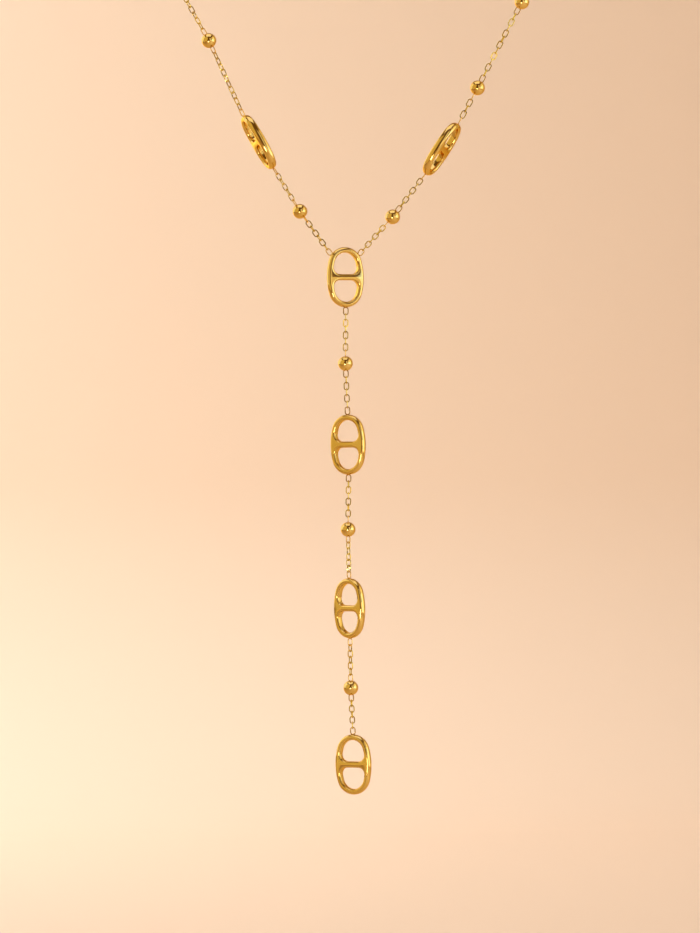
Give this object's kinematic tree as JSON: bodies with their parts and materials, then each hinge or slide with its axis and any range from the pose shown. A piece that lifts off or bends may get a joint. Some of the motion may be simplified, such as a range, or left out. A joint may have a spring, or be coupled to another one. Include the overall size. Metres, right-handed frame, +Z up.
{
  "type": "lariat necklace",
  "caption": "Lariat necklace: a loop of fine cable chain for the neck, joined at a flat oval with a crossbar, from which a drop hangs with more ovals and round beads.",
  "frame": {"origin": "the nape: centre of the clasp, where the necklace rests on the back of the neck", "axes": "+Z up, with the drop along -Z; the front of the necklace faces -Y; +X is to the right in a front view"},
  "size_m": [0.1107, 0.1026, 0.2526],
  "materials": {
    "ovals": "polished",
    "beads": "polished",
    "chain": "polished",
    "clasp": "polished"
  },
  "bodies": {
    "root": {"y_oval": "ovals", "left_oval": "ovals", "right_oval": "ovals", "drop_oval_1": "ovals", "drop_oval_2": "ovals", "drop_oval_3": "ovals", "left_bead_1": "beads", "left_bead_2": "beads", "right_bead_1": "beads", "right_bead_2": "beads", "right_bead_3": "beads", "drop_bead_1": "beads", "drop_bead_2": "beads", "drop_bead_3": "beads", "left_chain": "chain", "right_chain": "chain", "drop_chain": "chain", "left_nape_chain": "chain", "right_nape_chain": "chain", "clasp": "clasp"}
  },
  "joints": []
}
